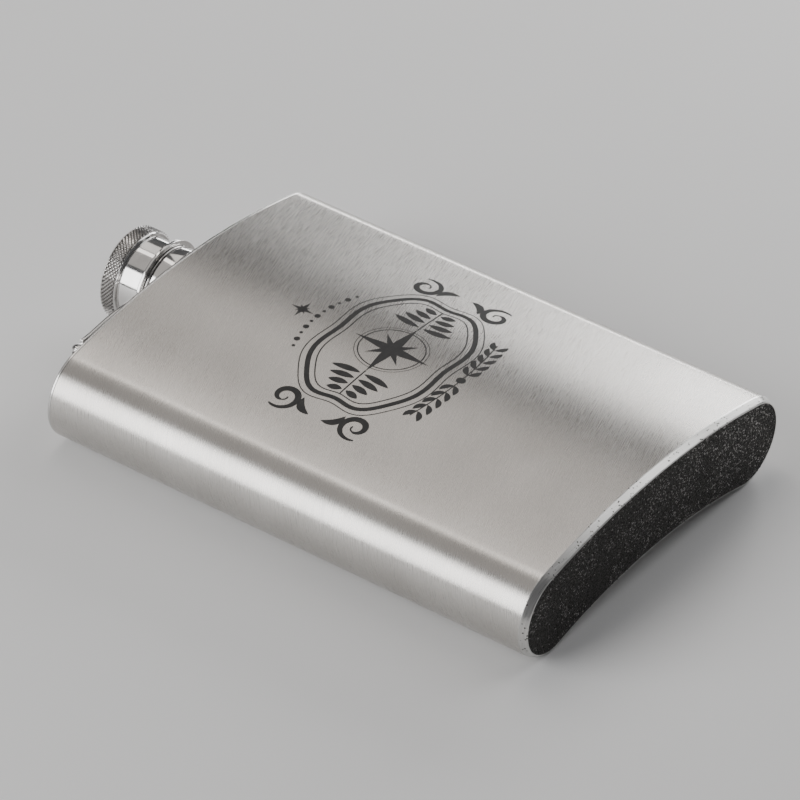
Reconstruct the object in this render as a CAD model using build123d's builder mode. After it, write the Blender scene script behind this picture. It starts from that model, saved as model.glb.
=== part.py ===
"""Hip flask with a captive screw cap on a swing arm.

The flask lies on its back. +Y runs from the base to the cap, +Z points up out of
the front face, and the arm's hinge is on the -X side of the neck. The origin is at
the middle of the flask's length and width, at the level that its back rests on.
All sizes are in millimetres.
"""
import os
from math import sqrt
from build123d import *

os.makedirs("parts", exist_ok=True)

# Driving dimensions of the body
body_height = 124.0        # base face to top face
body_width = 95.0
middle_thickness = 20.9    # front to back, on the centre line
back_radius = 142.5        # concave back, curved to sit against a hip
side_radius = 10.66        # rounded sides
sheet = 0.6                # stainless sheet of the wrapped wall
plate = 0.8                # pressed end plates

# Welded and ground rims that join the wall to the end plates
base_rim_height = 1.8
base_rim_bevel = 0.9
base_rim_width = 1.8
top_rim_height = 0.8
top_rim_bevel = 0.35
top_rim_width = 1.4

# Neck, collar and cap: radii, and heights above the body's top face
cap_top = 15.0
neck_bore_radius = 6.3
neck_radius = 7.3
neck_top = 9.0
neck_inner_end = -2.0
thread_crest_radius = 8.0
thread_pitch = 2.0
thread_turns = 1.5
thread_start = 4.9
collar_radius = 10.0
collar_height = 3.64
head_radius = 10.8
head_bottom = 10.8
head_edge = 0.5
waist_radius = 9.5
insert_radius = 9.1
cap_bore_radius = 8.75
retainer_radius = 10.0
retainer_bottom = 3.75
waist_bottom = 4.2
gasket_radius = 8.6
gasket_bottom = 9.05
gasket_top = 10.2

# Swing arm and its hinge
ring_inner_radius = 9.7
ring_outer_radius = 11.1
arm_sheet = 0.8
ring_bottom = 4.3
arm_width = 7.0
strap_bend_x = -20.0
strap_end_x = -31.0
strap_end_top = 4.15
hinge_x = -33.4
hinge_height = 2.6
knuckle_radius = 1.4
knuckle_width = 5.0
pin_radius = 0.8
pin_clearance = 0.05
pin_head_radius = 1.15
pin_head = 0.4
ear = 0.9
ear_gap = 0.1
bracket_sheet = 0.8
bracket_inner_x = -30.6
stop_tab_x = (-36.4, -35.4)
stop_tab_top = (2.0, 2.9)

# Heights of the main levels along Y
overall_length = body_height + cap_top
base_y = -overall_length / 2
top_y = base_y + body_height

# Centres of the section's arcs, in X and Z, with the lowest point of the sides at Z = 0.
# The side circle touches the back arc from outside and the front arc from inside, and
# the front arc's radius is the one that meets both the side circle and the thickness.
side_x = body_width / 2 - side_radius
side_z = side_radius
back_reach = back_radius + side_radius
back_apex_z = side_z + back_radius - sqrt(back_reach**2 - side_x**2)
front_apex_z = back_apex_z + middle_thickness
side_drop = front_apex_z - side_z
front_radius = (side_x**2 + side_drop**2 - side_radius**2) / (2 * (side_drop - side_radius))
front_reach = front_radius - side_radius
front_centre_z = front_apex_z - front_radius
back_centre_z = back_apex_z - back_radius
neck_z = (back_apex_z + front_apex_z) / 2


def across(height):
    """Plane across the flask at a height above its base, facing the base."""
    return Plane(origin=(0, base_y + height, 0), x_dir=(1, 0, 0), z_dir=(0, -1, 0))


def outline(inset):
    """Edges of the body's section, four tangent arcs, moved inwards by inset."""
    front_slope = (side_x / front_reach, (side_z - front_centre_z) / front_reach)
    back_slope = (side_x / back_reach, (side_z - back_centre_z) / back_reach)
    side = side_radius - inset
    front_x = side_x + side * front_slope[0]
    front_z = side_z + side * front_slope[1]
    back_x = side_x - side * back_slope[0]
    back_z = side_z - side * back_slope[1]
    with BuildLine() as loop:
        ThreePointArc((-front_x, front_z), (0, front_apex_z - inset), (front_x, front_z))
        ThreePointArc((front_x, front_z), (side_x + side, side_z), (back_x, back_z))
        ThreePointArc((back_x, back_z), (0, back_apex_z + inset), (-back_x, back_z))
        ThreePointArc((-back_x, back_z), (-side_x - side, side_z), (-front_x, front_z))
    return loop.edges()


skin = outline(0)
lining = outline(sheet)
base_edge = outline(base_rim_bevel)
base_plate_edge = outline(base_rim_width)
top_edge = outline(top_rim_bevel)
top_plate_edge = outline(top_rim_width)

neck_plane = Plane(origin=(0, top_y, neck_z))
neck_axis = Axis((0, top_y, neck_z), (0, 1, 0))
neck_floor = Plane(origin=(0, top_y, neck_z), x_dir=(1, 0, 0), z_dir=(0, 1, 0))
hinge_plane = Plane(origin=(hinge_x, top_y + hinge_height, neck_z))
strap_plane = Plane(origin=(0, top_y, neck_z))


# Body: one sheet wrapped to the section, hollow, with its closing seam on the +X side
wall_height = body_height - base_rim_height - top_rim_height
wall_top = body_height - top_rim_height
with BuildPart() as body_wall:
    with BuildSketch(across(wall_top)):
        make_face(skin)
        make_face(lining, mode=Mode.SUBTRACT)
    extrude(amount=wall_height)

seam_bead_radius = 0.7
with BuildPart() as side_seam_bead:
    with BuildSketch(across(wall_top)):
        with Locations((side_x + side_radius - sheet, side_z)):
            Circle(seam_bead_radius)
        make_face(lining, mode=Mode.INTERSECT)
    extrude(amount=wall_height)

# Rims: ground weld bands at both ends of the wall, leaning in to the end faces
with BuildPart() as base_weld_rim:
    with BuildSketch(across(base_rim_height)):
        make_face(skin)
    with BuildSketch(across(0)):
        make_face(base_edge)
    loft()
    with BuildSketch(across(base_rim_height)):
        make_face(base_plate_edge)
    extrude(amount=base_rim_height, mode=Mode.SUBTRACT)

with BuildPart() as top_weld_rim:
    with BuildSketch(across(body_height)):
        make_face(top_edge)
    with BuildSketch(across(wall_top)):
        make_face(skin)
    loft()
    with BuildSketch(across(body_height)):
        make_face(top_plate_edge)
    extrude(amount=top_rim_height, mode=Mode.SUBTRACT)

# End plates: flush with the rims, the top one pierced for the neck
with BuildPart() as base_plate:
    with BuildSketch(across(plate)):
        make_face(base_plate_edge)
    extrude(amount=plate)

with BuildPart() as top_plate:
    with BuildSketch(across(body_height)):
        make_face(top_plate_edge)
        with Locations((0, neck_z)):
            Circle(neck_radius, mode=Mode.SUBTRACT)
    extrude(amount=plate)

# Neck: a tube through the top plate with a rolled thread of one and a half turns
thread_depth = thread_crest_radius - neck_radius
thread_root = 1.2
thread_tip = 0.5
thread_bite = 0.2
neck_lip = 0.3
with BuildPart() as neck_spout:
    with BuildSketch(neck_plane):
        with BuildLine():
            Polyline(
                (neck_bore_radius, neck_inner_end),
                (neck_radius, neck_inner_end),
                (neck_radius, neck_top - neck_lip),
                (neck_radius - neck_lip, neck_top),
                (neck_bore_radius + neck_lip, neck_top),
                (neck_bore_radius, neck_top - neck_lip),
                close=True,
            )
        make_face()
    revolve(axis=neck_axis)
    with BuildLine() as thread_path:
        Helix(
            pitch=thread_pitch,
            height=thread_pitch * thread_turns,
            radius=neck_radius,
            center=(0, top_y + thread_start, neck_z),
            direction=(0, 1, 0),
        )
    start = thread_path.line @ 0
    outward = Vector(start.X, 0, start.Z - neck_z)
    with BuildSketch(Plane(origin=start, x_dir=outward, z_dir=thread_path.line % 0)):
        with BuildLine():
            Polyline(
                (-thread_bite, -thread_root / 2),
                (thread_depth, -thread_tip / 2),
                (thread_depth, thread_tip / 2),
                (-thread_bite, thread_root / 2),
                close=True,
            )
        make_face()
    sweep(path=thread_path.line, is_frenet=True)

# Collar: a polished ring around the neck's foot, with a rounded rim
collar_rounding = 0.5
with BuildPart() as neck_collar:
    with BuildSketch(neck_floor):
        Circle(collar_radius)
        Circle(neck_radius, mode=Mode.SUBTRACT)
    extrude(amount=collar_height)
    rim = neck_collar.edges().group_by(Axis.Y)[-1].sort_by(SortBy.RADIUS)[-1]
    fillet(rim, radius=collar_rounding)

# Weld beads: a fillet ring under the top plate, and one along each side of the bracket
neck_bead = 0.7
with BuildPart() as neck_weld_bead:
    with BuildSketch(neck_plane):
        with BuildLine():
            Polyline(
                (neck_radius, -plate),
                (neck_radius + neck_bead, -plate),
                (neck_radius, -plate - neck_bead),
                close=True,
            )
        make_face()
    revolve(axis=neck_axis)

bracket_bead = 0.5
bracket_length = bracket_inner_x - stop_tab_x[0]
half_arm = arm_width / 2
with BuildPart() as bracket_weld_beads:
    with BuildSketch(Plane(origin=(stop_tab_x[0], top_y, neck_z), x_dir=(0, 1, 0), z_dir=(1, 0, 0))):
        with BuildLine():
            Polyline((0, half_arm), (bracket_bead, half_arm), (0, half_arm + bracket_bead), close=True)
        make_face()
        mirror(about=Plane.XZ)
    extrude(amount=bracket_length)

# Hinge bracket: a foot on the top plate, two round ears and an outer tab that stops the arm
with BuildPart() as hinge_bracket:
    with BuildSketch(strap_plane.offset(-half_arm)):
        with BuildLine():
            Polyline(
                (stop_tab_x[0], 0),
                (bracket_inner_x, 0),
                (bracket_inner_x, bracket_sheet),
                (stop_tab_x[1], bracket_sheet),
                (stop_tab_x[1], stop_tab_top[1]),
                (stop_tab_x[0], stop_tab_top[0]),
                close=True,
            )
        make_face()
    extrude(amount=arm_width)
    for ear_start in (-half_arm, half_arm - ear):
        with BuildSketch(hinge_plane.offset(ear_start)):
            Circle(knuckle_radius)
            with Locations((0, -hinge_height / 2)):
                Rectangle(2 * knuckle_radius, hinge_height)
        extrude(amount=ear)
    with BuildSketch(hinge_plane.offset(-half_arm)):
        Circle(pin_radius)
    extrude(amount=arm_width, mode=Mode.SUBTRACT)

with BuildPart() as hinge_pin:
    with BuildSketch(hinge_plane.offset(-half_arm)):
        Circle(pin_radius)
    extrude(amount=arm_width)
    for head_start in (-half_arm - pin_head, half_arm):
        with BuildSketch(hinge_plane.offset(head_start)):
            Circle(pin_head_radius)
        extrude(amount=pin_head)

# Swing arm: a ring around the cap's waist, a flat strap and a knuckle rolled round the pin
ring_top = ring_bottom + arm_sheet
knuckle_top = hinge_height + knuckle_radius
strap_start_x = -ring_inner_radius
with BuildPart() as swing_arm:
    with BuildSketch(strap_plane.offset(-half_arm)):
        with BuildLine():
            Polyline(
                (strap_start_x, ring_bottom),
                (strap_start_x, ring_top),
                (strap_bend_x, ring_top),
                (strap_end_x, strap_end_top),
                (strap_end_x, strap_end_top - arm_sheet),
                (strap_bend_x, ring_bottom),
                close=True,
            )
        make_face()
    extrude(amount=arm_width)
    with BuildSketch(strap_plane.offset(-knuckle_width / 2)):
        with BuildLine():
            Polyline(
                (strap_end_x, strap_end_top),
                (hinge_x, knuckle_top),
                (hinge_x, knuckle_top - arm_sheet),
                (strap_end_x, strap_end_top - arm_sheet),
                close=True,
            )
        make_face()
        with Locations((hinge_x, hinge_height)):
            Circle(knuckle_radius)
            Circle(pin_radius + pin_clearance, mode=Mode.SUBTRACT)
    extrude(amount=knuckle_width)
    with BuildSketch(neck_floor.offset(ring_bottom)):
        Circle(ring_outer_radius)
    extrude(amount=arm_sheet)
    with BuildSketch(neck_floor.offset(ring_bottom)):
        Circle(ring_inner_radius)
    extrude(amount=arm_sheet, mode=Mode.SUBTRACT)

# Cap: a steel shell with its knurled head, a threaded insert, a retainer and a gasket
head_roof = 0.8
shell_step = 0.7
head_inner_radius = 9.9
with BuildPart() as cap_shell:
    with BuildSketch(neck_plane):
        with BuildLine():
            Polyline(
                (0, cap_top),
                (head_radius - head_edge, cap_top),
                (head_radius, cap_top - head_edge),
                (head_radius, head_bottom + head_edge),
                (head_radius - head_edge, head_bottom),
                (waist_radius, head_bottom),
                (waist_radius, waist_bottom),
                (insert_radius, waist_bottom),
                (insert_radius, head_bottom + shell_step),
                (head_inner_radius, head_bottom + shell_step),
                (head_inner_radius, cap_top - head_roof),
                (0, cap_top - head_roof),
                close=True,
            )
        make_face()
    revolve(axis=neck_axis)

insert_top = 11.4
with BuildPart() as cap_insert:
    with BuildSketch(neck_plane):
        with BuildLine():
            Polyline(
                (0, gasket_top),
                (cap_bore_radius, gasket_top),
                (cap_bore_radius, waist_bottom),
                (insert_radius, waist_bottom),
                (insert_radius, insert_top),
                (0, insert_top),
                close=True,
            )
        make_face()
    revolve(axis=neck_axis)

with BuildPart() as cap_retainer:
    with BuildSketch(neck_floor.offset(retainer_bottom)):
        Circle(retainer_radius)
        Circle(cap_bore_radius, mode=Mode.SUBTRACT)
    extrude(amount=waist_bottom - retainer_bottom)

with BuildPart() as cap_gasket:
    with BuildSketch(neck_floor.offset(gasket_bottom)):
        Circle(gasket_radius)
    extrude(amount=gasket_top - gasket_bottom)

# Each piece is written under its own name
pieces = {
    "body_wall": body_wall,
    "side_seam_bead": side_seam_bead,
    "base_weld_rim": base_weld_rim,
    "top_weld_rim": top_weld_rim,
    "base_plate": base_plate,
    "top_plate": top_plate,
    "neck_spout": neck_spout,
    "neck_collar": neck_collar,
    "neck_weld_bead": neck_weld_bead,
    "bracket_weld_beads": bracket_weld_beads,
    "hinge_bracket": hinge_bracket,
    "hinge_pin": hinge_pin,
    "swing_arm": swing_arm,
    "cap_shell": cap_shell,
    "cap_insert": cap_insert,
    "cap_retainer": cap_retainer,
    "cap_gasket": cap_gasket,
}
for name, piece in pieces.items():
    piece.part.label = name
    export_step(piece.part, f"parts/{name}.step")

print("front radius", round(front_radius, 1))
print("back apex", round(back_apex_z, 2), "front apex", round(front_apex_z, 2), "neck", round(neck_z, 2))
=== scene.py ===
"""Hip flask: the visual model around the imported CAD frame.

Lengths in the builders are in millimetres in the flask's own frame (+Y to the cap,
+Z out of the front) and become metres when a mesh is made.
"""
from math import asin, ceil, cos, pi, radians, sin, sqrt

import bmesh
import bpy
from mathutils import Matrix, Vector


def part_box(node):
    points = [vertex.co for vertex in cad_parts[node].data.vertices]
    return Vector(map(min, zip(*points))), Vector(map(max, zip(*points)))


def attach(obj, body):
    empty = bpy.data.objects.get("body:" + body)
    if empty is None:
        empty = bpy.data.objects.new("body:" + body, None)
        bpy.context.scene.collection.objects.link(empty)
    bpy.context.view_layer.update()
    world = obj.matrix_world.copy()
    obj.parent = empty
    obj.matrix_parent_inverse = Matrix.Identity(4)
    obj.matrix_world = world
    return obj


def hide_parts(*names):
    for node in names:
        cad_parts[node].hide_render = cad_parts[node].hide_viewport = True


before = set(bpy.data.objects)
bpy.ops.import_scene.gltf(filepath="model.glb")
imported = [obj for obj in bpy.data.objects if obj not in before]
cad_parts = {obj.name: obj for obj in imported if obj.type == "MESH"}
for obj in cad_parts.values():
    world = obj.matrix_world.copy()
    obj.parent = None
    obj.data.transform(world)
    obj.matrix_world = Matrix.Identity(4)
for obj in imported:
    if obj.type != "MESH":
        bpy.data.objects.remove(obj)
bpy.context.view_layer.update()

MM = 0.001


def low_high(node):
    """A CAD node's corners in millimetres."""
    low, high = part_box(node)
    return [value / MM for value in low], [value / MM for value in high]


# ---------------------------------------------------------------- sizes from the frame
wall_low, wall_high = low_high("body_wall")
base_low, base_high = low_high("base_weld_rim")
top_low, top_high = low_high("top_weld_rim")
cap_low, cap_high = low_high("cap_shell")

body_width = wall_high[0] - wall_low[0]
front_apex_z = wall_high[2]
base_y = base_low[1]
top_y = top_high[1]
neck_z = (cap_low[2] + cap_high[2]) / 2
base_rim_height = base_high[1] - base_low[1]
top_rim_height = top_high[1] - top_low[1]
cap_top = cap_high[1] - top_y

# Section of the body: radii that the box doesn't give
side_radius = 10.66
back_radius = 142.5
sheet = 0.6

side_x = body_width / 2 - side_radius
side_z = side_radius
back_reach = back_radius + side_radius
back_centre_z = side_z - sqrt(back_reach**2 - side_x**2)
side_drop = front_apex_z - side_z
front_radius = (side_x**2 + side_drop**2 - side_radius**2) / (2 * (side_drop - side_radius))
front_centre_z = front_apex_z - front_radius
front_tilt = asin(side_x / (front_radius - side_radius))
back_tilt = asin(side_x / back_reach)


# ---------------------------------------------------------------- mesh helpers
def make_object(name, mesh, body, material, replaces=()):
    """Links a finished mesh as a piece that rides on a body."""
    mesh.materials.append(material)
    piece = bpy.data.objects.new(name, mesh)
    bpy.context.scene.collection.objects.link(piece)
    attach(piece, body)
    if replaces:
        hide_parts(*replaces)
    return piece


def finish_mesh(mesh, sharp_degrees):
    """Outward normals, smooth shading, and hard edges where the surface turns sharply."""
    work = bmesh.new()
    work.from_mesh(mesh)
    bmesh.ops.recalc_face_normals(work, faces=work.faces)
    work.to_mesh(mesh)
    work.free()
    mesh.shade_smooth()
    mesh.set_sharp_from_angle(angle=radians(sharp_degrees))


def grid_mesh(name, rings, along, around, sharp_degrees=35):
    """Mesh over rings of points, closed round each ring, and from the last ring to the first.

    along and around give the UV of each ring and of each place in a ring, in metres.
    """
    count = len(rings[0])
    vertices = [tuple(value * MM for value in point) for ring in rings for point in ring]
    faces = []
    uvs = []
    for row in range(len(rings)):
        next_row = (row + 1) % len(rings)
        for column in range(count):
            next_column = (column + 1) % count
            faces.append((
                row * count + column,
                row * count + next_column,
                next_row * count + next_column,
                next_row * count + column,
            ))
            u0, u1 = around[column], around[column + 1]
            v0, v1 = along[row], along[row + 1]
            uvs += [(u0, v0), (u1, v0), (u1, v1), (u0, v1)]
    mesh = bpy.data.meshes.new(name)
    mesh.from_pydata(vertices, [], faces)
    layer = mesh.uv_layers.new(name="UVMap")
    for loop, uv in zip(layer.data, uvs):
        loop.uv = uv
    finish_mesh(mesh, sharp_degrees)
    return mesh


def running_length(points):
    """Length along a closed list of points, in metres, starting at 0 and ending back at the first."""
    lengths = [0.0]
    for first, second in zip(points, points[1:] + points[:1]):
        lengths.append(lengths[-1] + (Vector(second) - Vector(first)).length * MM)
    return lengths


def rounded(corners, radius, steps=4):
    """A closed polygon with its corners turned into arcs, as far as its sides allow."""
    points = []
    for index, corner in enumerate(corners):
        here = Vector(corner)
        before = Vector(corners[index - 1])
        after = Vector(corners[(index + 1) % len(corners)])
        towards_before = (before - here).normalized()
        towards_after = (after - here).normalized()
        opening = towards_before.angle(towards_after)
        if opening > radians(176):
            points.append(tuple(here))
            continue
        reach = radius / sin(opening / 2) * cos(opening / 2)
        longest = 0.45 * min((before - here).length, (after - here).length)
        reach = min(reach, longest)
        start = here + towards_before * reach
        end = here + towards_after * reach
        for step in range(steps + 1):
            t = step / steps
            point = start.lerp(here, t).lerp(here.lerp(end, t), t)
            points.append(tuple(point))
    return points


def on_neck(radius, angle, height):
    """Point at a radius and angle round the neck's axis, at a height above the top face."""
    return (radius * cos(angle), top_y + height, neck_z + radius * sin(angle))


def lathe(name, profile, body, material, replaces=(), segments=160, sharp_degrees=35):
    """A closed ring turned round the neck's axis from a profile of (radius, height)."""
    angles = [2 * pi * step / segments for step in range(segments)]
    rings = [[on_neck(radius, angle, height) for angle in angles] for radius, height in profile]
    widest = max(radius for radius, height in profile)
    around = [2 * pi * step / segments * widest * MM for step in range(segments + 1)]
    along = running_length(profile)
    mesh = grid_mesh(name, rings, along, around, sharp_degrees)
    return make_object(name, mesh, body, material, replaces)


# ---------------------------------------------------------------- the body's section
def arc_points(centre, radius, start, end, count):
    """Points of an arc in the section, without its last one."""
    points = []
    for step in range(count):
        angle = start + (end - start) * step / count
        points.append((centre[0] + radius * cos(angle), centre[1] + radius * sin(angle)))
    return points


def section(inset, broad=110, side=56):
    """The closed outline of the body, moved inwards, as (x, z) points."""
    up = pi / 2
    points = arc_points((0, front_centre_z), front_radius - inset, up + front_tilt, up - front_tilt, broad)
    points += arc_points((side_x, side_z), side_radius - inset, up - front_tilt, -up - back_tilt, side)
    points += arc_points((0, back_centre_z), back_radius + inset, up - back_tilt, up + back_tilt, broad)
    points += arc_points((-side_x, side_z), side_radius - inset, back_tilt - up, front_tilt - 3 * up, side)
    return points


def section_ring(inset, height):
    """The outline at a height above the base face, as points in space."""
    return [(x, base_y + height, z) for x, z in section(inset)]


def hoop(name, profile, body, material, replaces=(), sharp_degrees=35):
    """A closed band round the body from a profile of (inset, height above the base)."""
    rings = [section_ring(inset, height) for inset, height in profile]
    around = running_length(rings[0])
    along = running_length(profile)
    mesh = grid_mesh(name, rings, along, around, sharp_degrees)
    return make_object(name, mesh, body, material, replaces)


def front_z(x):
    """Height of the front face at a place across it."""
    return front_centre_z + sqrt(front_radius**2 - x**2)


# ---------------------------------------------------------------- materials
def new_material(name):
    """A node material with an empty Principled shader, and a helper to add nodes."""
    material = bpy.data.materials.new(name)
    material.use_nodes = True
    tree = material.node_tree
    tree.nodes.clear()
    output = tree.nodes.new("ShaderNodeOutputMaterial")
    shader = tree.nodes.new("ShaderNodeBsdfPrincipled")
    tree.links.new(shader.outputs["BSDF"], output.inputs["Surface"])
    return material, tree, shader


def stretched_noise(tree, source, scale, detail=3.0, roughness=0.55):
    """Noise over coordinates that are scaled unevenly, so that it runs in streaks."""
    mapping = tree.nodes.new("ShaderNodeMapping")
    mapping.inputs["Scale"].default_value = scale
    noise = tree.nodes.new("ShaderNodeTexNoise")
    noise.inputs["Scale"].default_value = 1.0
    noise.inputs["Detail"].default_value = detail
    noise.inputs["Roughness"].default_value = roughness
    tree.links.new(source, mapping.inputs["Vector"])
    tree.links.new(mapping.outputs["Vector"], noise.inputs["Vector"])
    return noise.outputs["Fac"]


def in_range(tree, value, low, high, from_low=0.3, from_high=0.7):
    """Maps noise onto a range of a shader's input."""
    node = tree.nodes.new("ShaderNodeMapRange")
    node.inputs["From Min"].default_value = from_low
    node.inputs["From Max"].default_value = from_high
    node.inputs["To Min"].default_value = low
    node.inputs["To Max"].default_value = high
    tree.links.new(value, node.inputs["Value"])
    return node.outputs["Result"]


def combine(tree, operation, first, second):
    """One arithmetic step between two noise values, or a value and a number."""
    node = tree.nodes.new("ShaderNodeMath")
    node.operation = operation
    tree.links.new(first, node.inputs[0])
    if isinstance(second, (int, float)):
        node.inputs[1].default_value = second
    else:
        tree.links.new(second, node.inputs[1])
    return node.outputs[0]


def two_tone(tree, value, dark, light):
    """A colour between two tones."""
    ramp = tree.nodes.new("ShaderNodeValToRGB")
    ramp.color_ramp.elements[0].color = (*dark, 1)
    ramp.color_ramp.elements[1].color = (*light, 1)
    tree.links.new(value, ramp.inputs["Fac"])
    return ramp.outputs["Color"]


def bump(tree, height, strength, distance):
    """A bump of a real depth in metres."""
    node = tree.nodes.new("ShaderNodeBump")
    node.inputs["Strength"].default_value = strength
    node.inputs["Distance"].default_value = distance
    tree.links.new(height, node.inputs["Height"])
    return node.outputs["Normal"]


def uv_coordinates(tree, turn):
    """The UV map, turned by an angle so that streaks can run at a slant to it."""
    uv = tree.nodes.new("ShaderNodeTexCoord").outputs["UV"]
    mapping = tree.nodes.new("ShaderNodeMapping")
    mapping.inputs["Rotation"].default_value = (0.0, 0.0, -turn)
    tree.links.new(uv, mapping.inputs["Vector"])
    return mapping.outputs["Vector"]


def object_coordinates(tree):
    """Coordinates in metres that ride on the piece itself."""
    return tree.nodes.new("ShaderNodeTexCoord").outputs["Object"]


def pits(tree, place, scale, size):
    """Scattered round pits, 1 in a pit and 0 elsewhere."""
    cells = tree.nodes.new("ShaderNodeTexVoronoi")
    cells.inputs["Scale"].default_value = scale
    tree.links.new(place, cells.inputs["Vector"])
    patches = stretched_noise(tree, place, (220, 220, 220), detail=2)
    hole = combine(tree, "LESS_THAN", cells.outputs["Distance"], size)
    return combine(tree, "MULTIPLY", hole, combine(tree, "GREATER_THAN", patches, 0.5))


def brushed_steel(name, dark, light, rough, slant=17.0, anisotropy=0.8, pitted=False):
    """Steel brushed at a slant to U: short fine scratches, longer marks and a cloudy sheen."""
    material, tree, shader = new_material(name)
    uv = uv_coordinates(tree, radians(slant))
    fine = stretched_noise(tree, uv, (260, 7600, 1), detail=2, roughness=0.5)
    marks = stretched_noise(tree, uv, (110, 4400, 1), detail=2, roughness=0.5)
    cloud = stretched_noise(tree, uv, (40, 60, 1), detail=2)
    grain = combine(tree, "ADD", combine(tree, "MULTIPLY", fine, 0.6), combine(tree, "MULTIPLY", marks, 0.4))
    tone = combine(tree, "ADD", combine(tree, "MULTIPLY", grain, 0.5), combine(tree, "MULTIPLY", cloud, 0.5))
    tone = in_range(tree, tone, 0, 1, 0.33, 0.67)
    height = grain
    if pitted:
        # Pits are dented by the bump and also painted dark in colour: painted shade in the pits.
        pit_dents_and_painted_shade = pits(tree, object_coordinates(tree), 1300, 0.24)
        tone = combine(tree, "SUBTRACT", in_range(tree, tone, 0.5, 1.0, 0, 1), pit_dents_and_painted_shade)
        height = combine(tree, "SUBTRACT", grain, combine(tree, "MULTIPLY", pit_dents_and_painted_shade, 2.0))
    tree.links.new(two_tone(tree, tone, dark, light), shader.inputs["Base Color"])
    tree.links.new(in_range(tree, grain, rough - 0.05, rough + 0.07), shader.inputs["Roughness"])
    tree.links.new(bump(tree, height, 0.7, 0.00002), shader.inputs["Normal"])
    shader.inputs["Metallic"].default_value = 1.0
    shader.inputs["Anisotropic"].default_value = anisotropy
    shader.inputs["Anisotropic Rotation"].default_value = 0.25 + slant / 360
    tangent = tree.nodes.new("ShaderNodeTangent")
    tangent.direction_type = "UV_MAP"
    tangent.uv_map = "UVMap"
    tree.links.new(tangent.outputs["Tangent"], shader.inputs["Tangent"])
    return material


def polished_steel(name, dark=(0.58, 0.57, 0.56), light=(0.72, 0.71, 0.70), rough=0.09):
    """Mirror-polished steel with hairline scratches and faint handling marks."""
    material, tree, shader = new_material(name)
    place = object_coordinates(tree)
    smear = stretched_noise(tree, place, (160, 160, 160), detail=4)
    hair = stretched_noise(tree, place, (400, 6000, 400), detail=2)
    tree.links.new(two_tone(tree, in_range(tree, smear, 0, 1), dark, light), shader.inputs["Base Color"])
    blend = combine(tree, "ADD", combine(tree, "MULTIPLY", smear, 0.5), combine(tree, "MULTIPLY", hair, 0.5))
    tree.links.new(in_range(tree, blend, rough - 0.03, rough + 0.07), shader.inputs["Roughness"])
    tree.links.new(bump(tree, hair, 0.08, 0.00001), shader.inputs["Normal"])
    shader.inputs["Metallic"].default_value = 1.0
    return material


def blasted_steel(name):
    """Coarsely blasted steel with a pitted bump; its near-black colour is a painted dark reflection, and its
    lighter, glossier specks, denser towards +X, are painted glints.
    """
    material, tree, shader = new_material(name)
    place = object_coordinates(tree)
    grit = stretched_noise(tree, place, (2200, 2200, 2200), detail=5, roughness=0.7)
    bump_and_painted_speck_cells = tree.nodes.new("ShaderNodeTexVoronoi")
    bump_and_painted_speck_cells.inputs["Scale"].default_value = 3600
    tree.links.new(place, bump_and_painted_speck_cells.inputs["Vector"])
    patches = stretched_noise(tree, place, (110, 110, 110), detail=3)
    chance = tree.nodes.new("ShaderNodeSeparateColor")
    tree.links.new(bump_and_painted_speck_cells.outputs["Color"], chance.inputs["Color"])
    axes = tree.nodes.new("ShaderNodeSeparateXYZ")
    tree.links.new(place, axes.inputs["Vector"])
    # Painted glints: lighter specks that grow denser towards +X, where the plate is painted lighter.
    painted_speck_density = combine(tree, "ADD", patches, in_range(tree, axes.outputs["X"], -0.06, 0.12, -0.04, 0.046))
    threshold = in_range(tree, painted_speck_density, 0.995, 0.86, 0.35, 0.70)
    painted_glint = combine(tree, "GREATER_THAN", chance.outputs["Red"], threshold)
    height = combine(tree, "ADD", grit, combine(tree, "MULTIPLY", chance.outputs["Green"], 0.6))
    ground = in_range(tree, grit, 0, 0.2, 0.38, 0.72)
    tone = combine(tree, "ADD", ground, combine(tree, "MULTIPLY", painted_glint, 0.5))
    # The near-black tone is a painted dark reflection; the lighter tone shows only in the painted glints.
    dark, light = (0.008, 0.0075, 0.007), (0.60, 0.58, 0.56)
    tree.links.new(two_tone(tree, tone, dark, light), shader.inputs["Base Color"])
    tree.links.new(in_range(tree, painted_glint, 0.62, 0.25, 0, 1), shader.inputs["Roughness"])
    tree.links.new(bump(tree, height, 1.0, 0.0003), shader.inputs["Normal"])
    shader.inputs["Metallic"].default_value = 0.9
    return material


def engraved_mark(name):
    """Laser-darkened steel, with the faint raster of the laser's passes."""
    material, tree, shader = new_material(name)
    place = object_coordinates(tree)
    raster = stretched_noise(tree, place, (300, 9000, 300), detail=2)
    soot = stretched_noise(tree, place, (700, 700, 700), detail=4)
    tone = combine(tree, "ADD", combine(tree, "MULTIPLY", raster, 0.5), combine(tree, "MULTIPLY", soot, 0.5))
    dark, light = (0.010, 0.010, 0.011), (0.045, 0.043, 0.042)
    tree.links.new(two_tone(tree, in_range(tree, tone, 0, 1), dark, light), shader.inputs["Base Color"])
    tree.links.new(in_range(tree, tone, 0.5, 0.7), shader.inputs["Roughness"])
    tree.links.new(bump(tree, soot, 0.3, 0.00003), shader.inputs["Normal"])
    shader.inputs["Specular IOR Level"].default_value = 0.3
    return material


def silicone(name):
    """Matt off-white silicone with a faint mould texture."""
    material, tree, shader = new_material(name)
    place = object_coordinates(tree)
    mottle = stretched_noise(tree, place, (500, 500, 500), detail=4)
    dark, light = (0.66, 0.65, 0.61), (0.82, 0.81, 0.78)
    tree.links.new(two_tone(tree, in_range(tree, mottle, 0, 1), dark, light), shader.inputs["Base Color"])
    tree.links.new(in_range(tree, mottle, 0.5, 0.68), shader.inputs["Roughness"])
    tree.links.new(bump(tree, mottle, 0.3, 0.00005), shader.inputs["Normal"])
    return material


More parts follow.
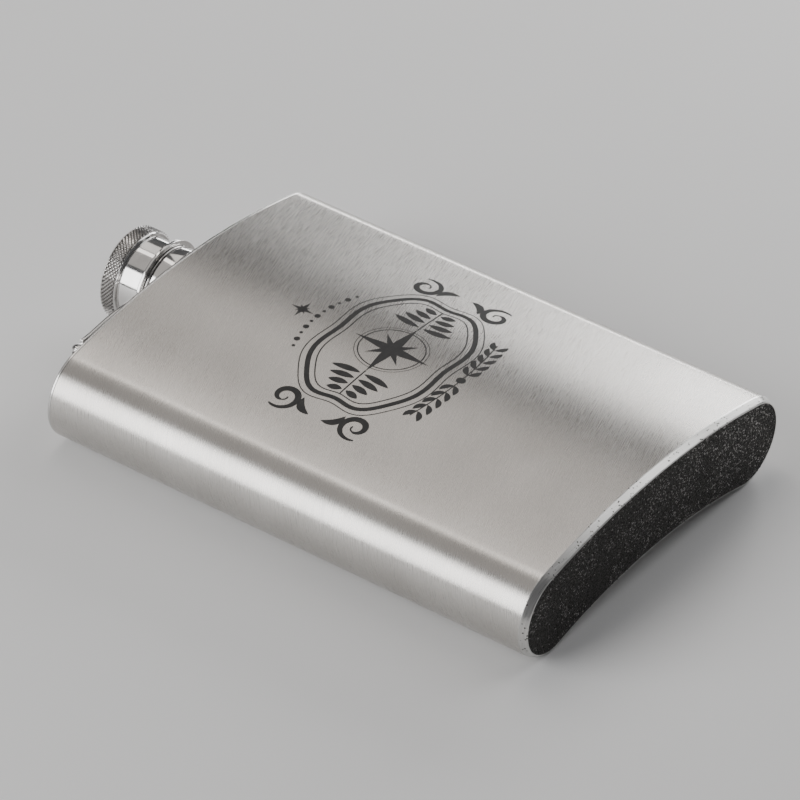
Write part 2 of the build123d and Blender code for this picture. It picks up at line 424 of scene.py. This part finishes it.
def pale_floor(name):
    """Pale matt board."""
    material, tree, shader = new_material(name)
    place = object_coordinates(tree)
    mottle = stretched_noise(tree, place, (30, 30, 30), detail=5)
    dark, light = (0.83, 0.83, 0.83), (0.86, 0.86, 0.86)
    tree.links.new(two_tone(tree, mottle, dark, light), shader.inputs["Base Color"])
    shader.inputs["Roughness"].default_value = 0.55
    return material


wall_steel = brushed_steel("wall_steel", (0.49, 0.47, 0.447), (0.60, 0.58, 0.556), 0.27)
# The weld band's dark tone shows only in its pits, as painted shade.
rim_steel = brushed_steel("rim_steel", (0.06, 0.058, 0.055), (0.84, 0.83, 0.81), 0.30, 4.0, 0.4, pitted=True)
edge_steel = brushed_steel("edge_steel", (0.52, 0.51, 0.50), (0.74, 0.73, 0.72), 0.22, 4.0, 0.4)
base_steel = blasted_steel("base_steel")
bright_steel = polished_steel("bright_steel")
thread_steel = polished_steel("thread_steel", (0.44, 0.43, 0.42), (0.62, 0.61, 0.60), 0.2)
# Near-black steel for the knurl's root ring: painted shade in the knurl's valleys.
knurl_shade_steel = polished_steel("knurl_shade_steel", (0.05, 0.048, 0.045), (0.16, 0.155, 0.15), 0.35)
mark_steel = engraved_mark("mark_steel")
gasket_silicone = silicone("gasket_silicone")


# ---------------------------------------------------------------- body
body_height = top_y - base_y
wall_bottom = base_rim_height
wall_top = body_height - top_rim_height
plate = 0.8
plate_inset = 1.08
plate_gap = 0.02
disc_setback = 0.04
base_rim_inset = 1.8
top_rim_inset = 1.4
neck_radius = 7.3


def build_wall():
    """The wrapped sheet, a closed tube with an inside face."""
    steps = 48
    outer = [(0.0, wall_bottom + (wall_top - wall_bottom) * step / steps) for step in range(steps + 1)]
    inner = [(sheet, height) for inset, height in reversed(outer)]
    hoop("flask_wall", outer + inner, "flask", wall_steel, ("body_wall",), 50)


def build_rims():
    """The ground weld bands: the base one leans in to the end face, the top one is a thin edge."""
    shoulder = [(0.0, base_rim_height), (0.0, base_rim_height - 0.12), (0.06, base_rim_height - 0.3)]
    slope_high, slope_low = (0.1, base_rim_height - 0.38), (0.75, 0.2)
    slope = []
    steps = 6
    for step in range(steps + 1):
        share = step / steps
        slope.append(tuple(high * (1 - share) + low * share for high, low in zip(slope_high, slope_low)))
    foot = [(0.84, 0.08), (0.94, 0.0), (plate_inset, 0.0)]
    ledge = plate + plate_gap
    seat = [(plate_inset, ledge), (base_rim_inset, ledge), (base_rim_inset, base_rim_height)]
    base_profile = shoulder + slope + foot + seat
    hoop("base_rim", base_profile, "flask", rim_steel, ("base_weld_rim",), 40)
    low = body_height - top_rim_height
    high = body_height
    top_profile = rounded([(0.0, low), (0.05, high), (top_rim_inset, high), (top_rim_inset, low)], 0.3)
    hoop("top_rim", top_profile, "flask", edge_steel, ("top_weld_rim",), 60)


def build_plate(name, node, inset, outer_height, inner_height, material, hole=None):
    """An end plate, as a closed disc of the section's shape with an optional round hole."""
    rows = 14
    outline = section(inset)
    centre = Vector((0.0, neck_z))
    rings = []
    for height in (outer_height, inner_height):
        band = []
        for row in range(rows + 1):
            shrink = row / rows
            ring = []
            for x, z in outline:
                spoke = Vector((x, z)) - centre
                target = spoke.normalized() * hole if hole else Vector((0.0, 0.0))
                point = centre + spoke.lerp(target, shrink)
                ring.append((point[0], base_y + height, point[1]))
            band.append(ring)
        rings.append(band)
    if not hole:
        for band in rings:
            band.pop()
    outside, inside = rings
    loops = list(reversed(outside)) + inside
    mesh = bpy.data.meshes.new(name)
    work = bmesh.new()
    table = [[work.verts.new([value * MM for value in point]) for point in ring] for ring in loops]
    count = len(outline)
    pairs = list(zip(table, table[1:]))
    if hole:
        pairs.append((table[-1], table[0]))
    for first, second in pairs:
        for column in range(count):
            following = (column + 1) % count
            work.faces.new((first[column], first[following], second[following], second[column]))
    if not hole:
        for ring, height in ((table[0], outer_height), (table[-1], inner_height)):
            middle = work.verts.new((0, (base_y + height) * MM, neck_z * MM))
            for column in range(count):
                work.faces.new((ring[column], ring[(column + 1) % count], middle))
    work.to_mesh(mesh)
    work.free()
    finish_mesh(mesh, 35)
    make_object(name, mesh, "flask", material, (node,))


build_wall()
build_rims()
build_plate("base_disc", "base_plate", plate_inset, disc_setback, plate, base_steel)
build_plate("top_disc", "top_plate", top_rim_inset, body_height - disc_setback, body_height - plate,
            bright_steel, hole=neck_radius)


# ---------------------------------------------------------------- neck and collar
neck_bore = 6.3
neck_top = 9.0
neck_end = -2.0
lip = 0.3
crest_radius = 8.0
thread_pitch = 2.0
thread_start = 4.9
thread_turns = 1.5
thread_fade = 0.08
ridge_root = 0.62
ridge_tip = 0.22
collar_radius = 10.0
collar_height = 3.64


def ridge(distance, half_root, half_tip):
    """Height of a thread's ridge, 0 to 1, at a distance from its crest line."""
    return max(0.0, min(1.0, (half_root - abs(distance)) / (half_root - half_tip)))


def helical_rise(height, angle, start):
    """How much of the thread stands at a height and angle, fading at both ends."""
    best = 0.0
    for turn in range(ceil(thread_turns) + 1):
        travel = turn + angle / (2 * pi)
        if travel > thread_turns:
            continue
        fade = min(1.0, travel / thread_fade, (thread_turns - travel) / thread_fade)
        distance = height - start - thread_pitch * travel
        best = max(best, fade * ridge(distance, ridge_root, ridge_tip))
    return best


def build_neck():
    """The spout: a tube with a rounded lip and a rolled thread."""
    segments = 200
    rows = 110
    outside = []
    for row in range(rows + 1):
        height = neck_end + (neck_top - lip - neck_end) * row / rows
        outside.append((neck_radius, height, True))
    lip_points = rounded([(neck_radius, neck_top - lip), (neck_radius, neck_top), (neck_bore, neck_top),
                          (neck_bore, neck_top - lip)], lip)
    crown = [(radius, height, False) for radius, height in lip_points if height > neck_top - lip + 0.01]
    profile = outside + crown + [(neck_bore, neck_top - lip, False), (neck_bore, neck_end, False)]
    rings = []
    for radius, height, threaded in profile:
        ring = []
        for step in range(segments):
            angle = 2 * pi * step / segments
            rise = helical_rise(height, angle, thread_start) if threaded else 0.0
            # The helix climbs anticlockwise seen from the cap, as a right-hand thread does
            ring.append(on_neck(radius + rise * (crest_radius - neck_radius), -angle, height))
        rings.append(ring)
    around = [2 * pi * neck_radius * MM * step / segments for step in range(segments + 1)]
    along = running_length([(radius, height) for radius, height, threaded in profile])
    mesh = grid_mesh("neck_tube", rings, along, around, 50)
    make_object("neck_tube", mesh, "flask", thread_steel, ("neck_spout",))


build_neck()

collar_profile = rounded(
    [
        (neck_radius, 0.0),
        (collar_radius, 0.0),
        (collar_radius, collar_height),
        (neck_radius, collar_height),
    ],
    0.45,
)
lathe("collar", collar_profile, "flask", bright_steel, ("neck_collar",))


# ---------------------------------------------------------------- cap
head_radius = 10.8
head_bottom = 10.8
waist_radius = 9.5
waist_bottom = 4.2
insert_radius = 9.1
insert_top = 11.4
cap_bore = 8.75
cap_roof = 10.2
knurl_depth = 0.42
centre_gap = 0.02
cap_ridge = 0.28
cap_thread_lead = 0.9
retainer_radius = 10.0
retainer_bottom = 3.75
gasket_low = 9.05


def build_cap_shell():
    """The cap's steel skin: waist, head with its rims, and a shallow dish in the top."""
    band = head_radius - knurl_depth
    dish_floor = cap_top - 0.25
    rim_inner, rim_outer = 10.2, 10.5
    hollow, hollow_low, hollow_high = 9.9, head_bottom + 0.7, cap_top - 0.8
    skin = rounded(
        [
            (centre_gap, dish_floor),
            (8.2, dish_floor),
            (8.8, cap_top),
            (rim_inner, cap_top),
            (rim_outer, cap_top - 0.35),
            (band - 0.1, cap_top - 0.5),
            (band - 0.1, head_bottom + 0.5),
            (rim_outer, head_bottom + 0.35),
            (rim_inner, head_bottom),
            (waist_radius, head_bottom + 0.02),
            (waist_radius, waist_bottom),
            (insert_radius, waist_bottom),
            (insert_radius, hollow_low),
            (hollow, hollow_low),
            (hollow, hollow_high),
            (centre_gap, hollow_high),
        ],
        0.16,
    )
    lathe("cap_skin", skin, "cap", bright_steel, ("cap_shell",), segments=192)
    low, high = head_bottom + 0.45, cap_top - 0.45
    root = rounded([(band, low), (band, high), (band - 0.3, high), (band - 0.3, low)], 0.05)
    # Root ring between the knurl's pyramids, painted near black as shade in the valleys.
    lathe("knurl_root_painted_shade", root, "cap", knurl_shade_steel, segments=192)


def build_knurl():
    """Diamond knurling: rows of small pyramids with their tips ground flat."""
    columns = 66
    rows = 4
    low = head_bottom + knurl_depth
    high = cap_top - knurl_depth
    row_height = (high - low) / rows
    foot = head_radius - knurl_depth - 0.1
    tip_share = 0.22
    foot_share = 0.93
    mesh = bpy.data.meshes.new("cap_knurl")
    work = bmesh.new()
    for level in range(2 * rows + 1):
        height = low + row_height * level / 2
        for column in range(columns):
            angle = 2 * pi * (column + (level % 2) / 2) / columns
            half_angle = pi / columns
            corners = [(angle - half_angle, height), (angle + half_angle, height)]
            if level < 2 * rows:
                corners.insert(1, (angle, height + row_height / 2))
            if level > 0:
                corners.append((angle, height - row_height / 2))
            middle_angle = sum(corner[0] for corner in corners) / len(corners)
            middle_height = sum(corner[1] for corner in corners) / len(corners)
            loops = []
            for radius, share in ((foot, foot_share), (head_radius, tip_share)):
                loop = []
                for corner_angle, corner_height in corners:
                    place_angle = middle_angle + (corner_angle - middle_angle) * share
                    place_height = middle_height + (corner_height - middle_height) * share
                    point = on_neck(radius, place_angle, place_height)
                    loop.append(work.verts.new([value * MM for value in point]))
                loops.append(loop)
            base, tip = loops
            count = len(corners)
            for index in range(count):
                following = (index + 1) % count
                work.faces.new((base[index], base[following], tip[following], tip[index]))
            work.faces.new(tip)
            work.faces.new(list(reversed(base)))
    bmesh.ops.recalc_face_normals(work, faces=work.faces)
    work.to_mesh(mesh)
    work.free()
    make_object("cap_knurl", mesh, "cap", bright_steel)


def build_insert():
    """The cap's inner sleeve, with a female thread that stands in from its bore."""
    segments = 200
    rows = 70
    low = waist_bottom
    start = thread_start + cap_thread_lead
    profile = [(cap_bore, low + (cap_roof - low) * row / rows, True) for row in range(rows + 1)]
    profile += [(centre_gap, cap_roof, False), (centre_gap, insert_top, False)]
    profile += [(insert_radius, insert_top, False), (insert_radius, low, False)]
    rings = []
    for radius, height, threaded in profile:
        ring = []
        for step in range(segments):
            angle = 2 * pi * step / segments
            rise = helical_rise(height, angle, start) if threaded else 0.0
            ring.append(on_neck(radius - cap_ridge * rise, -angle, height))
        rings.append(ring)
    around = [2 * pi * cap_bore * MM * step / segments for step in range(segments + 1)]
    along = running_length([(radius, height) for radius, height, threaded in profile])
    mesh = grid_mesh("cap_sleeve", rings, along, around, 50)
    make_object("cap_sleeve", mesh, "cap", thread_steel, ("cap_insert",))


build_cap_shell()
build_knurl()
build_insert()
retainer_profile = rounded(
    [
        (cap_bore, retainer_bottom),
        (retainer_radius, retainer_bottom),
        (retainer_radius, waist_bottom),
        (cap_bore, waist_bottom),
    ],
    0.2,
)
lathe("retainer", retainer_profile, "cap", bright_steel, ("cap_retainer",))
gasket_profile = rounded(
    [
        (centre_gap, gasket_low + 0.3),
        (6.0, gasket_low + 0.3),
        (6.2, gasket_low),
        (8.3, gasket_low),
        (8.6, gasket_low + 0.25),
        (8.6, cap_roof),
        (centre_gap, cap_roof),
    ],
    0.12,
)
lathe("gasket", gasket_profile, "cap", gasket_silicone, ("cap_gasket",))


# ---------------------------------------------------------------- swing arm and hinge
hinge_x = -33.4
hinge_height = 2.6
knuckle_radius = 1.4
knuckle_bore = 0.85
arm_sheet = 0.8
arm_width = 7.0
knuckle_width = 5.0
ring_bottom = 4.3
ring_bore = 9.7
ring_radius = 11.1
bend_start = -18.0
bend_length = 13.0
bend_drop = 0.95
tongue_x = -30.6
tongue_height = 4.15
ear_sheet = 0.9
pin_radius = 0.8
pin_head_radius = 1.15
pin_head_height = 0.4


def extruded(name, corners, low_z, high_z, edge, body, material, replaces=()):
    """A flat profile in X and height, given a thickness along Z, with its edges softened."""
    mesh = bpy.data.meshes.new(name)
    work = bmesh.new()
    loops = []
    for z in (low_z, high_z):
        points = [(x * MM, (top_y + height) * MM, (neck_z + z) * MM) for x, height in corners]
        loops.append([work.verts.new(point) for point in points])
    low_loop, high_loop = loops
    for index in range(len(corners)):
        following = (index + 1) % len(corners)
        work.faces.new((low_loop[index], low_loop[following], high_loop[following], high_loop[index]))
    low_face = work.faces.new(list(reversed(low_loop)))
    high_face = work.faces.new(high_loop)
    rim_edges = set(low_face.edges) | set(high_face.edges)
    bmesh.ops.recalc_face_normals(work, faces=work.faces)
    bmesh.ops.bevel(work, geom=list(rim_edges), offset=edge * MM, segments=3, profile=0.5,
                    affect="EDGES", clamp_overlap=True)
    bmesh.ops.triangulate(work, faces=[face for face in work.faces if len(face.verts) > 4])
    work.to_mesh(mesh)
    work.free()
    finish_mesh(mesh, 32)
    return make_object(name, mesh, body, material, replaces)


def round_hinge(radius, start, end, steps):
    """Points round the hinge pin."""
    points = []
    for step in range(steps + 1):
        angle = radians(start + (end - start) * step / steps)
        points.append((hinge_x + radius * cos(angle), hinge_height + radius * sin(angle)))
    return points


def build_arm():
    """The ring, its flat strap and the tongue that is rolled round the pin."""
    ring_top = ring_bottom + arm_sheet
    ring_profile = rounded(
        [
            (ring_bore, ring_bottom),
            (ring_radius, ring_bottom),
            (ring_radius, ring_top),
            (ring_bore, ring_top),
        ],
        0.22,
    )
    lathe("arm_ring", ring_profile, "arm", bright_steel, ("swing_arm",))
    steps = 10
    top_line = [(-ring_bore - 0.25, ring_top)]
    for step in range(steps + 1):
        share = step / steps
        ease = share * share * (3 - 2 * share)
        top_line.append((bend_start - bend_length * share, ring_top - bend_drop * ease))
    bottom_line = [(x, height - arm_sheet) for x, height in reversed(top_line)]
    extruded("arm_strap", top_line + bottom_line, -arm_width / 2, arm_width / 2, 0.2,
             "arm", bright_steel)
    tongue_top = hinge_height + knuckle_radius
    outer = [(tongue_x, tongue_height)] + round_hinge(knuckle_radius, 90, 395, 40)
    inner = round_hinge(knuckle_bore, 395, 90, 40)
    inner += [(tongue_x - 0.6, tongue_top - 0.62), (tongue_x, tongue_height - arm_sheet + 0.1)]
    extruded("arm_knuckle", outer + inner, -knuckle_width / 2, knuckle_width / 2, 0.1,
             "arm", bright_steel)


def build_bracket():
    """The bracket: foot and stop tab in one bent piece, and an ear at each side."""
    half = arm_width / 2
    foot = rounded(
        [(-36.4, 0.0), (-30.6, 0.0), (-30.6, 0.8), (-35.4, 0.8), (-35.4, 2.9), (-36.4, 2.0)], 0.25
    )
    extruded("bracket_foot", foot, -half, half, 0.12,
             "flask", bright_steel, ("hinge_bracket",))
    for name, low in (("bracket_ear_low", -half), ("bracket_ear_high", half - ear_sheet)):
        ear = [(hinge_x + knuckle_radius, 0.3)] + round_hinge(knuckle_radius, 0, 180, 24)
        ear.append((hinge_x - knuckle_radius, 0.3))
        extruded(name, ear, low, low + ear_sheet, 0.16, "flask", bright_steel)


def build_pin():
    """The hinge pin, a shaft with a domed head at each end, along Z."""
    half = arm_width / 2
    dome = []
    for step in range(1, 6):
        angle = pi / 2 * step / 6
        dome.append((pin_head_radius * cos(angle), half + pin_head_height * sin(angle)))
    upper = [(pin_radius, half), (pin_head_radius, half)] + dome + [(centre_gap, half + pin_head_height)]
    profile = [(radius, -z) for radius, z in reversed(upper)] + upper
    segments = 48
    rings = []
    for radius, z in profile:
        ring = []
        for step in range(segments):
            angle = 2 * pi * step / segments
            x, height = hinge_x + radius * cos(angle), hinge_height + radius * sin(angle)
            ring.append((x, top_y + height, neck_z + z))
        rings.append(ring)
    around = [2 * pi * pin_radius * MM * step / segments for step in range(segments + 1)]
    mesh = grid_mesh("hinge_rivet", rings, running_length(profile), around, 40)
    make_object("hinge_rivet", mesh, "flask", bright_steel, ("hinge_pin",))


build_arm()
build_bracket()
build_pin()


# ---------------------------------------------------------------- engraved ornament
class Engraving:
    """Collects ribbons that lie on the front face, as one closed, very thin mesh."""

    proud = 0.012
    buried = 0.06

    def __init__(self):
        self.vertices = []
        self.faces = []

    def ribbon(self, points, widths, closed=False):
        """A stroke along (x, y) points with a width at each point."""
        first = len(self.vertices)
        count = len(points)
        for index, (x, y) in enumerate(points):
            before = points[index - 1] if index or closed else points[0]
            after = points[(index + 1) % count] if index < count - 1 or closed else points[-1]
            way = Vector((after[0] - before[0], after[1] - before[1])).normalized()
            half = max(widths[index], 0.03) / 2
            left = (x - way.y * half, y + way.x * half)
            right = (x + way.y * half, y - way.x * half)
            for (px, py), lift in ((left, self.proud), (right, self.proud), (right, -self.buried),
                                   (left, -self.buried)):
                self.vertices.append((px * MM, py * MM, (front_z(px) + lift) * MM))
        last = count if closed else count - 1
        for index in range(last):
            here = first + 4 * index
            there = first + 4 * ((index + 1) % count)
            for side in range(4):
                other = (side + 1) % 4
                self.faces.append((here + side, here + other, there + other, there + side))
        if not closed:
            end = first + 4 * (count - 1)
            self.faces.append((first + 3, first + 2, first + 1, first))
            self.faces.append((end, end + 1, end + 2, end + 3))

    def line(self, start, end, width, steps=8):
        """A straight stroke of one width."""
        points = []
        for step in range(steps + 1):
            share = step / steps
            points.append((start[0] + (end[0] - start[0]) * share, start[1] + (end[1] - start[1]) * share))
        self.ribbon(points, [width] * (steps + 1))

    def leaf(self, start, end, width, lean=0.4, steps=12):
        """A pointed leaf that bows to one side."""
        points = []
        widths = []
        across = Vector((start[1] - end[1], end[0] - start[0]))
        for step in range(steps + 1):
            share = step / steps
            bow = lean * sin(pi * share) / 4
            points.append((
                start[0] + (end[0] - start[0]) * share + across.x * bow,
                start[1] + (end[1] - start[1]) * share + across.y * bow,
            ))
            widths.append(width * sin(pi * share) ** 0.8)
        self.ribbon(points, widths)

    def dot(self, centre, radius):
        """A round dot."""
        steps = 8
        points = []
        widths = []
        for step in range(steps + 1):
            offset = radius * -cos(pi * step / steps)
            points.append((centre[0] + offset, centre[1]))
            widths.append(2 * sqrt(max(radius**2 - offset**2, 0)))
        self.ribbon(points, widths)

    def kite(self, centre, angle, length, width):
        """One point of a star."""
        steps = 10
        points = []
        widths = []
        shoulder = 0.22
        for step in range(steps + 1):
            share = step / steps
            points.append((centre[0] + cos(angle) * length * share, centre[1] + sin(angle) * length * share))
            widths.append(width * (share / shoulder if share < shoulder else (1 - share) / (1 - shoulder)))
        self.ribbon(points, widths)

    def loop(self, centre, half_width, half_height, wave, width, steps=120):
        """A closed frame line with a gentle wave in its outline."""
        points = []
        for step in range(steps):
            angle = 2 * pi * step / steps
            swell = 1 + wave * cos(4 * angle) + wave * 0.45 * cos(8 * angle)
            points.append((
                centre[0] + half_width * swell * cos(angle),
                centre[1] + half_height * swell * sin(angle),
            ))
        self.ribbon(points, [width] * steps, closed=True)

    def curl(self, centre, radius, start, turns, direction, width):
        """A spiral that thins out as it winds in."""
        steps = int(34 * turns)
        points = []
        widths = []
        for step in range(steps + 1):
            share = step / steps
            angle = start + direction * 2 * pi * turns * share
            reach = radius * (1 - 0.82 * share)
            points.append((centre[0] + reach * cos(angle), centre[1] + reach * sin(angle)))
            widths.append(width * (0.25 + 0.75 * sin(pi * min(1.0, share * 1.25)) ** 0.7) if share < 0.8
                          else width * 0.25)
        self.ribbon(points, widths)


def build_ornament():
    """A plain plaque with a compass star, pointed bars, curls, a leaf sprig and a row of dots."""
    mark = Engraving()
    middle = (0.0, -1.0)
    sprig_y = middle[1] - 18.0
    dot_gap = 2.3
    mark.loop(middle, 22.0, 14.6, -0.05, 1.15)
    mark.loop(middle, 20.2, 12.9, -0.05, 0.3)
    mark.loop(middle, 23.8, 16.4, -0.05, 0.26)
    # Compass star in a ring
    for point in range(8):
        angle = pi / 2 + pi * point / 4
        length, width = (9.6, 2.5) if point % 2 == 0 else (6.0, 1.7)
        mark.kite(middle, angle, length, width)
    for radius, width in ((7.3, 0.3), (8.1, 0.16)):
        mark.loop(middle, radius, radius, 0.0, width, steps=64)
    for side in (-1, 1):
        # A fan of pointed bars on each side of the star, with a rule through its middle
        for place in range(4):
            x = side * (10.6 + 2.2 * place)
            reach = 7.4 - 1.15 * place
            for level in (-1, 1):
                mark.leaf((x, middle[1] + 0.5 * level), (x + side * 0.9, middle[1] + reach * level), 1.75,
                          0.12 * side * level)
        mark.line((side * 9.4, middle[1]), (side * 18.6, middle[1]), 0.35)
        # Curls outside the plaque's corners
        for level in (-1, 1):
            centre = (side * 25.6, middle[1] + 9.2 * level)
            start = pi / 2 * (1 - side) + side * level * 0.5
            mark.curl(centre, 3.8, start, 1.35, -side * level, 1.5)
            mark.leaf((side * 23.8, middle[1] + 5.4 * level), (side * 27.6, middle[1] + 1.6 * level), 1.8,
                      0.9 * side * level)
        # Sprig below the plaque
        for leaf in range(5):
            x = side * (2.4 + 2.9 * leaf)
            y = sprig_y + 0.07 * leaf**2
            mark.leaf((x, y), (x + side * 2.9, y + 1.9), 1.35, 0.5 * side)
            mark.leaf((x, y), (x + side * 2.9, y - 1.7), 1.35, -0.5 * side)
    stem = [(x, sprig_y + 0.007 * x**2) for x in range(-16, 17)]
    mark.ribbon(stem, [0.3] * len(stem))
    mark.dot((0.0, sprig_y), 1.1)
    # Arc of dots and a small star above it
    for place in range(-5, 6):
        x = dot_gap * place
        mark.dot((x, middle[1] + 19.6 - 0.016 * x**2), 0.42 if place % 2 else 0.72)
    for point in range(8):
        angle = pi / 2 + pi * point / 4
        mark.kite((0.0, middle[1] + 23.6), angle, 3.0 if point % 2 == 0 else 1.7, 1.0)
    mesh = bpy.data.meshes.new("ornament")
    mesh.from_pydata(mark.vertices, [], mark.faces)
    finish_mesh(mesh, 30)
    make_object("ornament", mesh, "flask", mark_steel)


build_ornament()

# Hidden beads keep their CAD shape and take a metal finish
for node in ("side_seam_bead", "neck_weld_bead", "bracket_weld_beads"):
    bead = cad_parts[node]
    bead.data.materials.clear()
    bead.data.materials.append(thread_steel)


# ---------------------------------------------------------------- stage, light and camera
def build_stage():
    """A broad pale floor at the level that the flask rests on."""
    mesh = bpy.data.meshes.new("floor")
    reach = 6.0
    mesh.from_pydata([(-reach, -reach, 0), (reach, -reach, 0), (reach, reach, 0), (-reach, reach, 0)], [],
                     [(0, 1, 2, 3)])
    mesh.materials.append(pale_floor("floor_board"))
    floor = bpy.data.objects.new("floor", mesh)
    bpy.context.scene.collection.objects.link(floor)


def soft_box(name, place, width, height, brightness, tint=(1.0, 1.0, 1.0)):
    """A rectangular studio light that faces the flask, of a given brightness over its face."""
    data = bpy.data.lights.new(name, "AREA")
    data.shape = "RECTANGLE"
    data.size = width
    data.size_y = height
    data.energy = brightness * pi * width * height
    data.color = tint
    light = bpy.data.objects.new(name, data)
    light.location = place
    light.rotation_euler = (-Vector(place)).to_track_quat("-Z", "Y").to_euler()
    bpy.context.scene.collection.objects.link(light)


def build_lights():
    """Soft boxes round the flask, and a faint even light from everywhere."""
    world = bpy.data.worlds.new("studio")
    world.use_nodes = True
    background = world.node_tree.nodes["Background"]
    background.inputs["Color"].default_value = (0.96, 0.97, 1.0, 1)
    background.inputs["Strength"].default_value = 0.12
    bpy.context.scene.world = world
    warm = (1.0, 0.95, 0.90)
    soft_box("side_light", (-0.79, 0.48, 0.39), 0.8, 0.66, 5.4)
    soft_box("top_light", (-0.12, 0.46, 0.90), 0.86, 0.8, 0.50, warm)
    soft_box("strip_light", (0.20, 0.46, 0.86), 0.14, 0.9, 2.4, warm)
    soft_box("near_light", (0.44, 0.36, 0.78), 0.28, 0.6, 1.15, warm)
    soft_box("front_light", (0.94, 0.26, 0.74), 0.6, 0.66, 0.10, warm)
    soft_box("rim_light", (0.74, -0.36, 0.72), 0.45, 0.75, 1.9)
    soft_box("far_light", (0.62, 0.06, 0.25), 0.34, 0.24, 6.4)
    soft_box("back_light", (0.80, 0.40, 0.05), 0.7, 0.07, 8.0)


def build_camera():
    """A long lens at the flask's three-quarter view, base towards the right."""
    aim = Vector((-0.0004, -0.0040, 0.0137))
    distance = 1.308
    yaw = radians(34.15)
    pitch = radians(35.96)
    roll = radians(2.79)
    ahead = Vector((cos(yaw) * cos(pitch), sin(yaw) * cos(pitch), -sin(pitch)))
    data = bpy.data.cameras.new("camera")
    data.sensor_width = 36.0
    data.lens = 276.1
    data.clip_end = 50.0
    camera = bpy.data.objects.new("camera", data)
    turn = ahead.to_track_quat("-Z", "Y").to_matrix() @ Matrix.Rotation(roll, 3, "Z")
    camera.matrix_world = Matrix.Translation(aim - ahead * distance) @ turn.to_4x4()
    bpy.context.scene.collection.objects.link(camera)
    bpy.context.scene.camera = camera


build_stage()
build_lights()
build_camera()
